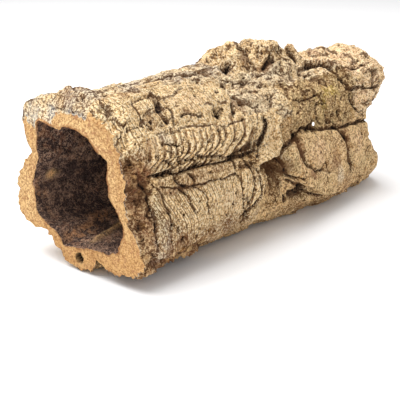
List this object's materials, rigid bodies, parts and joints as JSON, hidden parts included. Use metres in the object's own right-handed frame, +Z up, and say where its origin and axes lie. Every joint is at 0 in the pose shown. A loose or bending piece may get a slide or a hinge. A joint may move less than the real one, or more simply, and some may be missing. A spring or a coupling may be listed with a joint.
{
  "type": "cork bark tube",
  "caption": "Hollow cork branch: a rough tube of cork bark lying on its side, sawn square at one end, open and notched at the other, used as a hide or a mount for plants.",
  "frame": {"origin": "on the ground under the middle of the bark's box, which is under the middle of the hollow to within 1 mm", "axes": "+X along the tube, from the sawn end to the broken end; +Z up from the ridges it rests on; -Y is the side with the closed seam and the notch"},
  "size_m": [0.15, 0.0607, 0.0629],
  "materials": {
    "bark": "raw, dry cork bark, matt and deeply cracked, cream and grey-beige on the ridges, red-brown in the cracks, light tan where sawn, very dark brown inside"
  },
  "bodies": {
    "root": {"cork_tube": "bark"}
  },
  "joints": []
}
